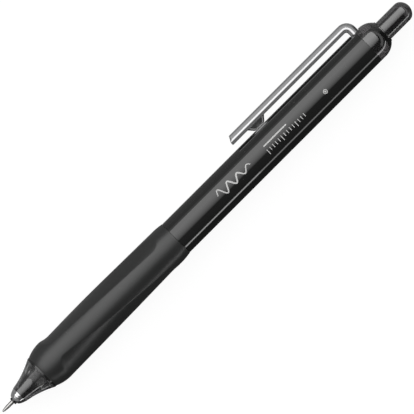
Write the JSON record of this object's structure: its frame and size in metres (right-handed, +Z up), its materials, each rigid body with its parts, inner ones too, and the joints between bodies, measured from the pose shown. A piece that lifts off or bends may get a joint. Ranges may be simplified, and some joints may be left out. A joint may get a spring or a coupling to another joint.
{
  "type": "retractable gel pen",
  "caption": "Retractable gel pen with a black barrel, scooped soft grip, smoky nose, cap and push button, and a bright metal clip.",
  "frame": {"origin": "writing point on the pen's axis, with the point out", "axes": "+X along the pen from the writing point to the push button, +Y towards the clip, +Z up from the side of the pen"},
  "size_m": [0.1461, 0.0148, 0.0118],
  "materials": {
    "ball_carbide": "polished carbide",
    "tip_metal": "turned nickel silver",
    "holder_black": "moulded black plastic",
    "ring_chrome": "bright plated ring",
    "smoke_plastic": "clear smoke-tinted plastic",
    "spring_steel": "drawn spring wire",
    "clear_tube": "clear tube",
    "gel_ink": "black gel",
    "grease": "clear grease",
    "white_plastic": "moulded white plastic",
    "barrel_black": "polished black plastic",
    "grip_rubber": "soft matt rubber",
    "cam_grey": "moulded grey plastic",
    "clip_chrome": "bright plated sheet"
  },
  "bodies": {
    "body": {"barrel": "barrel_black", "grip_sleeve": "grip_rubber", "cam_guide": "holder_black", "rear_cap": "smoke_plastic", "return_spring": "spring_steel"},
    "nose_front": {"nose_ring": "ring_chrome"},
    "nose": {"nose_cone": "smoke_plastic"},
    "refill": {"ball": "ball_carbide", "tip_holder": "holder_black", "tip_cone": "tip_metal", "refill_tube": "clear_tube", "ink_column": "gel_ink", "ink_follower": "grease", "refill_plug": "white_plastic", "rotor_cam": "white_plastic"},
    "button": {"button": "smoke_plastic", "thrust_cam": "cam_grey"},
    "clip": {"clip": "clip_chrome"}
  },
  "joints": [
    {"name": "button_press", "type": "slide", "parent": "body", "child": "button", "axis": [-1, 0, 0], "range_m": [-0.005, 0.0012], "stiffness_N_per_m": 100},
    {"name": "refill_slide", "type": "slide", "parent": "body", "child": "refill", "axis": [-1, 0, 0], "range_m": [-0.005, 0.0012], "deforming": ["return_spring"]},
    {"name": "nose_draw", "type": "slide", "parent": "body", "child": "nose_front", "axis": [1, 0, 0], "range_m": [-0.006, 0]},
    {"name": "nose_unscrew", "type": "hinge", "parent": "nose_front", "child": "nose", "pos_m": [0.006, 0, 0], "axis": [1, 0, 0], "range_deg": [-1440, 0]},
    {"name": "clip_lift", "type": "hinge", "parent": "body", "child": "clip", "pos_m": [0.13135, 0.00445, 0], "axis": [0, 0, -1], "range_deg": [0, 5], "stiffness_Nm_per_rad": 0.3}
  ],
  "couplings": [
    {"joint": "refill_slide", "follows": "button_press", "ratio": 1},
    {"joint": "nose_unscrew", "follows": "nose_draw", "rad_per_m": 4188.8}
  ]
}
